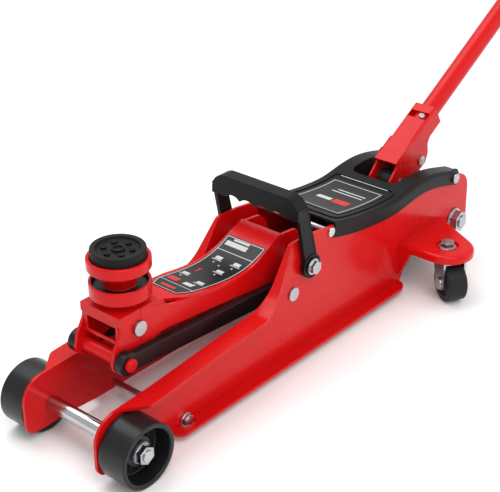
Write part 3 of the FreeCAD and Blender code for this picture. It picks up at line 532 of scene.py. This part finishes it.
# chrome tube over the front axle, between the side plates
axleTube = {"radius": 8.2, "half": 50.2, "height": 35.0, "wall": 1.5, "edge": 0.8}
tube = startPiece("frontAxleTube", bpy.ops.mesh.primitive_cylinder_add, vertices=64,
                  radius=axleTube["radius"] / 1000, depth=2 * axleTube["half"] / 1000,
                  location=spot(0, 0, axleTube["height"]), rotation=(math.pi / 2, 0, 0))
tube.data.materials.append(chromeRod)
pickFaces(tube, lambda place, normal: abs(normal.y) > 0.9)
stepIn([(axleTube["wall"], 0)])
bevelEdges(tube, axleTube["edge"], 3, 50)
finishPiece(tube, "chassis")

# front of the saddle bracket: a thin plate with a window, seen between the two side plates
bracketFront = {"front": 29.9, "back": 32.2, "half": 24.3, "low": 118.5, "high": 142.0, "bar": 4.2, "edge": 0.8}
window = startBox("bracketWindow", (bracketFront["front"], -bracketFront["half"], bracketFront["low"]),
                  (bracketFront["back"], bracketFront["half"], bracketFront["high"]))
window.data.materials.append(redPaint)
pickFaces(window, lambda place, normal: abs(normal.x) > 0.9)
stepIn([(bracketFront["bar"], 0)])
bpy.ops.mesh.bridge_edge_loops()
bevelEdges(window, bracketFront["edge"], 3, 50)
finishPiece(window, "bracket")

# front wheels: thin rim round a deep dish, with the hub standing in it; the right one is a turned copy
frontWheel = {"radius": 35.0, "inner": 55.3, "width": 35.0, "rim": (5.0, 0), "edge": 1.3,
              "dishSteps": [(0.5, -1.5), (2.6, -17.5), (9.5, -0.4), (0.6, 5.5)],
              "backSteps": [(6.0, 0), (0.6, -6.0), (14.0, 0), (0.5, 6.0)]}
wheelLeft = startPiece("frontWheel_left", bpy.ops.mesh.primitive_cylinder_add, vertices=96,
                       radius=frontWheel["radius"] / 1000, depth=frontWheel["width"] / 1000,
                       location=spot(0, -frontWheel["inner"] - frontWheel["width"] / 2, frontWheel["radius"]),
                       rotation=(math.pi / 2, 0, 0))
wheelLeft.data.materials.append(wheelNylon)
pickFaces(wheelLeft, lambda place, normal: normal.y < -0.9)
stepIn([frontWheel["rim"], *frontWheel["dishSteps"]])
pickFaces(wheelLeft, lambda place, normal: normal.y > 0.9)
stepIn(frontWheel["backSteps"])
bevelEdges(wheelLeft, frontWheel["edge"], 4, 50)
wheelRight = copyPiece(wheelLeft, "frontWheel_right", mirrored(wheelLeft.location))
wheelRight.rotation_euler.z = math.pi
finishPiece(wheelLeft, "wheel_front_left", ["front_wheel_left"])
finishPiece(wheelRight, "wheel_front_right", ["front_wheel_right"])

# saddle: a red cup with painted shade, black paint on its inside under the extension disc, and the extension that
# stands in it
saddleX = 59.0


def startDrum(name, radius, low, high, vertices, x=saddleX, y=0.0):
    return startPiece(name, bpy.ops.mesh.primitive_cylinder_add, vertices=vertices, radius=radius / 1000,
                      depth=(high - low) / 1000, location=spot(x, y, (high + low) / 2))


saddleCup = {"radius": 31.5, "low": 158.8, "high": 174.0, "cupSteps": [(2.6, 0), (0.5, -1.2), (0.8, -9.3)],
             "stemSteps": [(6.0, -0.3), (17.5, 0), (0.05, 17.0)], "edge": 1.1,
             "paintedShadeLow": 160.0, "paintedShadeHigh": 172.5, "paintedShadeRadius": 28.7}
cup = startDrum("saddleCup", saddleCup["radius"], saddleCup["low"], saddleCup["high"], 96)
cup.data.materials.append(redPaint)
pickFaces(cup, lambda place, normal: normal.z > 0.9)
stepIn(saddleCup["cupSteps"])
pickFaces(cup, lambda place, normal: normal.z < -0.9)
stepIn(saddleCup["stemSteps"])
axisX = spot(saddleX, 0, 0).x
# painted shade: the cup's inner wall and floor, shaded by the disc above, take the black paint
paintFaces(cup, blackPaintAndShade, lambda place, normal: normal.z > -0.1
           and saddleCup["paintedShadeLow"] / 1000 < place.z < saddleCup["paintedShadeHigh"] / 1000
           and math.hypot(place.x - axisX, place.y) < saddleCup["paintedShadeRadius"] / 1000)
bevelEdges(cup, saddleCup["edge"], 3, 50)
finishPiece(cup, "saddle", ["saddle_cup"])

# saddle extension: a heavy disc on a post, with a seat for the rubber pad; the post and foot down in the cup
# carry painted shade
extension = {"discRadius": 32.5, "low": 188.0, "high": 200.0, "padSeat": [(4.2, 0), (0.2, -4.8)],
             "postSteps": [(2.0, 0), (14.0, -0.8), (0.1, 20.0)], "footGrow": 1.69, "foot": 4.6,
             "paintedShadeBelow": 169.5, "edge": 1.4}
saddlePost = startDrum("saddleExtension", extension["discRadius"], extension["low"], extension["high"], 96)
saddlePost.data.materials.append(redPaint)
pickFaces(saddlePost, lambda place, normal: normal.z > 0.9)
stepIn(extension["padSeat"])
pickFaces(saddlePost, lambda place, normal: normal.z < -0.9)
stepIn(extension["postSteps"])
bpy.ops.mesh.extrude_region_move(TRANSFORM_OT_translate={"value": (0, 0, 0)})
bpy.ops.transform.resize(value=(extension["footGrow"], extension["footGrow"], 1))
bpy.ops.mesh.extrude_region_move(TRANSFORM_OT_translate={"value": (0, 0, -extension["foot"] / 1000)})
# painted shade: black on the post and foot below the disc, where they stand in the shaded cup
paintFaces(saddlePost, blackPaintAndShade, lambda place, normal: place.z < extension["paintedShadeBelow"] / 1000)
bevelEdges(saddlePost, extension["edge"], 4, 50)
finishPiece(saddlePost, "saddle_top", ["saddle_extension"])

# rubber pad: rolled rim, six studs with dimples, and a ring in the middle
rubberPad = {"radius": 28.0, "low": 195.2, "high": 209.6, "rim": [(2.2, 0), (3.6, 0), (0.6, -3.4)], "edge": 1.3,
             "studs": 6, "studCircle": 14.5, "studTop": 208.6, "studEdge": 0.45}
padStud = {"radius": 3.2, "tall": 3.6, "dimple": [(1.3, 0), (0.3, -0.9)]}
padCentre = {"radius": 7.0, "tall": 4.2, "dimple": [(1.9, 0), (0.3, -2.2)]}
pad = startDrum("saddlePad", rubberPad["radius"], rubberPad["low"], rubberPad["high"], 80)
pad.data.materials.append(padRubber)
pickFaces(pad, lambda place, normal: normal.z > 0.9)
stepIn(rubberPad["rim"])
bevelEdges(pad, rubberPad["edge"], 4, 50)
finishPiece(pad, "saddle_top", ["saddle_pad"])


def startStud(name, shape, x):
    top = rubberPad["studTop"]
    stud = startDrum(name, shape["radius"], top - shape["tall"], top, 32, x)
    stud.data.materials.append(padRubber)
    pickFaces(stud, lambda place, normal: normal.z > 0.9)
    stepIn(shape["dimple"])
    bevelEdges(stud, rubberPad["studEdge"], 2, 50)
    return stud


studs = [startStud("padStud_0", padStud, saddleX + rubberPad["studCircle"])]
for i in range(1, rubberPad["studs"]):
    angle = 2 * math.pi * i / rubberPad["studs"]
    reach = rubberPad["studCircle"]
    place = spot(saddleX + reach * math.cos(angle), reach * math.sin(angle), 0)
    place.z = studs[0].location.z
    studs.append(copyPiece(studs[0], "padStud_" + str(i), place))
studs.append(startStud("padStud_" + str(rubberPad["studs"]), padCentre, saddleX))
for stud in studs:
    finishPiece(stud, "saddle_top")

# caster wheels: crowned tread with a recessed hub on each side
casterWheel = {"radius": 23.5, "width": 23.0, "pivot": (501.0, 103.0), "trail": 16.0, "turn": 58.0, "edge": 3.9,
               "hubReach": 20.0, "hubSteps": [(7.5, 0), (0.8, -2.6), (5.0, 0), (0.5, 2.4)]}
turn = math.radians(casterWheel["turn"])
pivotX, pivotY = casterWheel["pivot"]
place = spot(pivotX - casterWheel["trail"] * math.cos(turn), -pivotY - casterWheel["trail"] * math.sin(turn),
             casterWheel["radius"])
rollerLeft = startPiece("casterWheel_left", bpy.ops.mesh.primitive_cylinder_add, vertices=72,
                        radius=casterWheel["radius"] / 1000, depth=casterWheel["width"] / 1000, location=place,
                        rotation=(math.pi / 2, 0, turn))
rollerLeft.data.materials.append(casterNylon)
axle = rollerLeft.matrix_world.to_3x3() @ Vector((0, 0, 1))
for facing in (-1, 1):
    pickFaces(rollerLeft, lambda centre, normal: normal.dot(axle) * facing > 0.9
              and (centre - place).length < casterWheel["hubReach"] / 1000)
    stepIn(casterWheel["hubSteps"])
bevelEdges(rollerLeft, casterWheel["edge"], 6, 50)
rollerRight = copyPiece(rollerLeft, "casterWheel_right", mirrored(rollerLeft.location))
rollerRight.rotation_euler.z = -turn
finishPiece(rollerLeft, "roll_left", ["caster_wheel_left"])
finishPiece(rollerRight, "roll_right", ["caster_wheel_right"])

# pressed arc on the front of the handle socket
socketArc = {"place": (521.2, 0, 148.1), "radius": 6.5, "thick": 1.3, "rise": 29.75}
rise = math.radians(socketArc["rise"])
arc = startPiece("socketArc", bpy.ops.mesh.primitive_torus_add, location=spot(*socketArc["place"]),
                 rotation=(0, -rise, 0), major_radius=socketArc["radius"] / 1000,
                 minor_radius=socketArc["thick"] / 1000, major_segments=48, minor_segments=12)
arc.data.materials.append(redPaint)
cutAt(arc, spot(*socketArc["place"]), (-math.cos(rise), 0, -math.sin(rise)), dropOuter=True, fill=True)
finishPiece(arc, "pump_lever", (), 60)

# printed labels: dark film with pale outlines, laid on the curved faces below
def inkFinish(name, light, deep, rough=(0.25, 0.4)):
    material, tree, skin = startMaterial(name)
    ripple = placeGroup(tree, coatRipple)
    wire(tree, blendColours(tree, ripple.outputs["Cloud"], light, deep), skin.inputs["Base Color"])
    wire(tree, rangeOf(tree, ripple.outputs["Cloud"], *rough), skin.inputs["Roughness"])
    skin.inputs["Specular IOR Level"].default_value = 0.3
    return material


filmInk = inkFinish("filmInk", (0.006, 0.006, 0.007), (0.012, 0.012, 0.014))
paleInk = inkFinish("paleInk", (0.62, 0.62, 0.62), (0.5, 0.5, 0.5))
redInk = inkFinish("redInk", (0.6, 0.02, 0.02), (0.5, 0.015, 0.015))


def layOn(piece, target, gap, thick):
    bpy.ops.object.mode_set(mode="OBJECT")
    drop = piece.modifiers.new("layDown", "SHRINKWRAP")
    drop.wrap_method = "PROJECT"
    drop.use_project_z = True
    drop.use_negative_direction = True
    drop.use_positive_direction = False
    drop.target = target
    drop.offset = gap / 1000
    body = piece.modifiers.new("film", "SOLIDIFY")
    body.thickness = thick / 1000
    body.offset = 1.0

def labelSheet(name, shape, target, body, replaced):
    length = shape["back"] - shape["front"]
    sheet = startSheet(name, shape["front"], shape["back"], shape["backHalf"], printHeight)
    sheet.data.materials.append(filmInk)
    for side in (-1, 1):
        slope = (shape["frontHalf"] - shape["backHalf"], length * side, 0)
        cutAt(sheet, spot(shape["back"], side * shape["backHalf"], printHeight), slope, dropOuter=True)
        if shape["corner"]:
            along, across = shape["corner"]
            start = spot(shape["front"], side * (shape["frontHalf"] - across), printHeight)
            cutAt(sheet, start, (-across, side * along, 0), dropOuter=True)
    pickFaces(sheet, lambda place, normal: True)
    stepIn([(shape["margin"], 0), (shape["line"], 0)])
    film = bmesh.from_edit_mesh(sheet.data)
    inner = [face for face in film.faces if face.select]
    outline = [face for face in film.faces
               if not face.select and any(near in inner for edge in face.edges for near in edge.link_faces)]
    sheet.data.materials.append(paleInk)
    for face in film.faces:
        face.select_set(face in outline)
        if face in outline:
            face.material_index = 1
    bmesh.update_edit_mesh(sheet.data)
    for divider in shape["dividers"]:
        low, high = spot(divider, 0, 0), spot(divider + shape["line"], 0, 0)
        cutAt(sheet, low, (1, 0, 0))
        cutAt(sheet, high, (1, 0, 0))
        film = bmesh.from_edit_mesh(sheet.data)
        for face in film.faces:
            centre = face.calc_center_median() + sheet.location
            if low.x < centre.x < high.x and abs(centre.y) < shape["frontHalf"] / 1000 - 0.002:
                face.material_index = 1
        bmesh.update_edit_mesh(sheet.data)
    cutAcross(sheet, shape["front"], shape["back"])
    for across in range(-21, 22, 7):
        cutAt(sheet, spot(0, across, 0), (0, 1, 0))
    layOn(sheet, target, shape["gap"], shape["thick"])
    finishPiece(sheet, body, replaced, 20)


printHeight = 175  # prints and mouldings start flat at this height, then drop onto the face below
armLabel = {"front": 118, "back": 250, "frontHalf": 24.2, "backHalf": 27.6, "corner": (15, 6.5), "margin": 1.2,
            "line": 0.9, "dividers": [137, 229], "gap": 0.25, "thick": 0.25}
labelSheet("armLabel", armLabel, nodes["lift_arm"], "arm", ["arm_decal"])
coverLabel = {"front": 365, "back": 459, "frontHalf": 38, "backHalf": 38, "corner": None, "margin": 3.2,
              "line": 1.0, "dividers": [], "gap": 0.25, "thick": 0.3}
labelSheet("coverLabel", coverLabel, nodes["cover"], "chassis", ["cover_decal"])


def addMark(kind, x, y, wide, tall, ink):  # one printed shape, given by its place and size
    sides, turn, grow = {"bar": (4, 45, math.sqrt(2)), "dot": (20, 0, 1), "arrow": (3, 0, 1)}[kind]
    clearPick()
    bpy.ops.mesh.primitive_circle_add(vertices=sides, radius=0.5, fill_type="NGON",
                                      location=spot(x, y, printHeight), rotation=(0, 0, math.radians(turn)))
    mark = bpy.context.object
    bpy.ops.object.transform_apply(location=False, rotation=True, scale=False)
    mark.scale = (wide / 1000 * grow, tall / 1000 * grow, 1)
    bpy.ops.object.transform_apply(location=False, rotation=False, scale=True)
    mark.data.materials.append(ink)
    return mark


def markSet(name, marks, target, body, gap):
    made = [addMark(*mark) for mark in marks]
    clearPick()
    for mark in made:
        mark.select_set(True)
    bpy.context.view_layer.objects.active = made[0]
    bpy.ops.object.join()
    piece = bpy.context.object
    piece.name = name
    layOn(piece, target, gap, 0.1)
    finishPiece(piece, body, (), 20)


armMarks = [("bar", 240, 7, 6, 30, paleInk), ("bar", 246, 4, 2.5, 22, paleInk), ("bar", 127, 2, 5, 20, redInk)]
for x, y in ((217, -14), (217, 12), (196, -8), (168, 15), (160, -13)):
    armMarks += [("bar", x, y, 5, 9, paleInk), ("bar", x - 4, y, 1.2, 13, paleInk),
                 ("dot", x - 9, y, 2.2, 2.2, paleInk)]
armMarks += [("arrow", 186, 12, 7, 5, redInk), ("bar", 181, 12, 5, 1.6, redInk), ("bar", 147, 13, 9, 14, redInk),
             ("bar", 147, -8, 7, 12, paleInk), ("bar", 150, -8, 1.2, 9, filmInk),
             ("dot", 205, 2, 2.2, 2.2, paleInk)]
markSet("armLabelMarks", armMarks, nodes["lift_arm"], "arm", 0.55)
coverMarks = [("bar", 402, -14, 13, 22, redInk), ("bar", 402, 10, 8, 20, paleInk),
              ("bar", 428, -4, 2.2, 44, paleInk), ("bar", 435, -6, 2.2, 40, paleInk),
              ("bar", 468, 0, 1.1, 70, paleInk)]
markSet("coverLabelMarks", coverMarks, nodes["cover"], "chassis", 0.62)


def startRing(name, shape):  # a rounded frame of flat sheet, cut so that it can follow the cover
    ring = startSheet(name, shape["front"], shape["back"], shape["half"], printHeight)
    ring.data.materials.append(coverPlastic)
    bpy.ops.mesh.select_mode(type="VERT")
    bpy.ops.mesh.select_all(action="SELECT")
    bpy.ops.mesh.bevel(offset=shape["corner"] / 1000, segments=shape["cornerSegments"], affect="VERTICES")
    bpy.ops.mesh.select_mode(type="FACE")
    bpy.ops.mesh.select_all(action="SELECT")
    stepIn([(shape["wide"], 0)])
    bpy.ops.mesh.delete(type="FACE")
    cutAcross(ring, shape["front"], shape["back"])
    return ring


# raised bead moulded round the label recess of the cover
bead = {"front": 349, "back": 473, "half": 46, "corner": 8.0, "cornerSegments": 5, "wide": 3.2, "tall": 1.3,
        "sink": -0.1, "edge": 0.9}
ring = startRing("coverBead", bead)
layOn(ring, nodes["cover"], bead["sink"], bead["tall"])
bevelEdges(ring, bead["edge"], 3, 50)
finishPiece(ring, "chassis", (), 50)

# dark lining that hangs round the mouth of the cover, where the handle comes out; open at the back
mouthLining = {"front": 481.5, "back": 590, "half": 36.3, "corner": 13.0, "cornerSegments": 6, "wide": 1.8,
               "deep": 24.0, "sink": -0.6, "openFrom": 574}
lining = startRing("coverMouth", mouthLining)
cutAt(lining, spot(mouthLining["openFrom"], 0, 0), (1, 0, 0), dropOuter=True)
layOn(lining, nodes["cover"], mouthLining["sink"], -mouthLining["deep"])
finishPiece(lining, "chassis", (), 40)

# floor, light and camera
studioFloor = {"size": 14, "height": -0.0004, "colour": (0.95, 0.95, 0.95, 1), "rough": 0.5}
bpy.ops.object.select_all(action="DESELECT")
bpy.ops.mesh.primitive_plane_add(size=1, location=(0, 0, studioFloor["height"]))
floor = bpy.context.object
floor.name = "floor"
floor.scale = (studioFloor["size"], studioFloor["size"], 1)
floorMaterial, floorTree, floorSkin = startMaterial("paleFloor")
floorSkin.inputs["Base Color"].default_value = studioFloor["colour"]
floorSkin.inputs["Roughness"].default_value = studioFloor["rough"]
floor.data.materials.append(floorMaterial)

world = bpy.data.worlds.new("studio")
world.use_nodes = True
world.node_tree.nodes["Background"].inputs["Color"].default_value = (1, 1, 1, 1)
world.node_tree.nodes["Background"].inputs["Strength"].default_value = 0.7
bpy.context.scene.world = world

lampSettings = {
    "key": {"place": (-0.9, -1.3, 1.9), "size": 1.6, "power": 24, "aim": (-0.25, 0, 0.1)},
    "fill": {"place": (1.6, -1.6, 1.2), "size": 2.0, "power": 9, "aim": (-0.2, 0, 0.1)},
    "top": {"place": (-0.2, 0.9, 2.2), "size": 1.8, "power": 28, "aim": (-0.2, 0, 0.1)},
}
for name, lamp in lampSettings.items():
    light = bpy.data.lights.new(name, "AREA")
    light.size = lamp["size"]
    light.energy = lamp["power"]
    lightObject = bpy.data.objects.new(name, light)
    lightObject.location = lamp["place"]
    lightObject.rotation_euler = (Vector(lamp["aim"]) - Vector(lamp["place"])).to_track_quat("-Z", "Y").to_euler()
    bpy.context.scene.collection.objects.link(lightObject)

cameraSettings = {"place": (-1.27394, -0.79500, 0.77680), "aim": (-0.32699, 0.02467, 0.10966), "roll": -0.01,
                  "lens": 89.85, "sensor": 36}
camera = bpy.data.cameras.new("camera")
camera.lens = cameraSettings["lens"]
camera.sensor_width = cameraSettings["sensor"]
cameraObject = bpy.data.objects.new("camera", camera)
cameraObject.location = cameraSettings["place"]
look = (Vector(cameraSettings["aim"]) - Vector(cameraSettings["place"])).to_track_quat("-Z", "Y")
cameraObject.rotation_euler = (look.to_matrix() @ Matrix.Rotation(cameraSettings["roll"], 3, "Z")).to_euler()
bpy.context.scene.collection.objects.link(cameraObject)
bpy.context.scene.camera = cameraObject
bpy.context.scene.view_settings.view_transform = "Standard"
print("studio ready")
